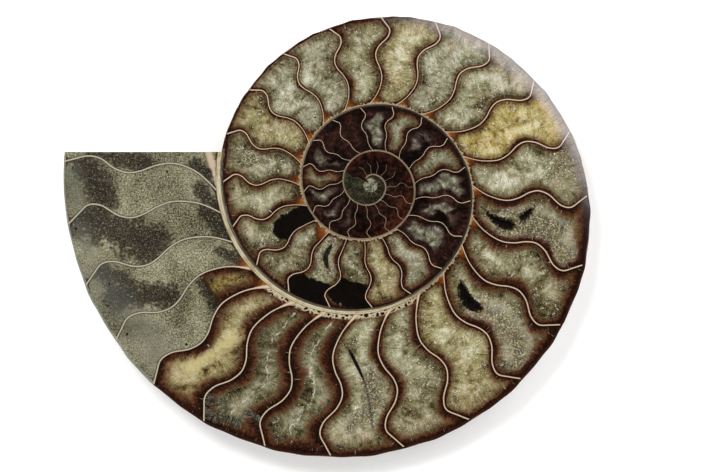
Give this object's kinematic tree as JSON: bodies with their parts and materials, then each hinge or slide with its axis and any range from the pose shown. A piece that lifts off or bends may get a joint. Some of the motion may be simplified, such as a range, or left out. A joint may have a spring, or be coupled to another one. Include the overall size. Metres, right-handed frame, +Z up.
{
  "type": "ammonite fossil half",
  "caption": "Sawn and polished half of a coiled fossil shell, with calcite-filled chambers and two crystal-lined hollows; lies on its ribbed flank, cut face up.",
  "frame": {"origin": "middle of the bounding box, on the surface that the rounded flank rests on", "axes": "+Z up, out of the polished cut face; +X along the longest extent, away from the broken mouth; +Y across, towards the side on which the mouth's break faces"},
  "size_m": [0.15, 0.1258, 0.02],
  "materials": {
    "fossil_stone": "polished stone: grey-green calcite, dark brown rims and cream septa on the cut face, satin brown shell on the flank",
    "calcite_crystals": "sparkling pale calcite crystals"
  },
  "bodies": {
    "root": {"ammonite_half": "fossil_stone", "crystals_upper_hollow": "calcite_crystals", "crystals_lower_hollow": "calcite_crystals"}
  },
  "joints": []
}
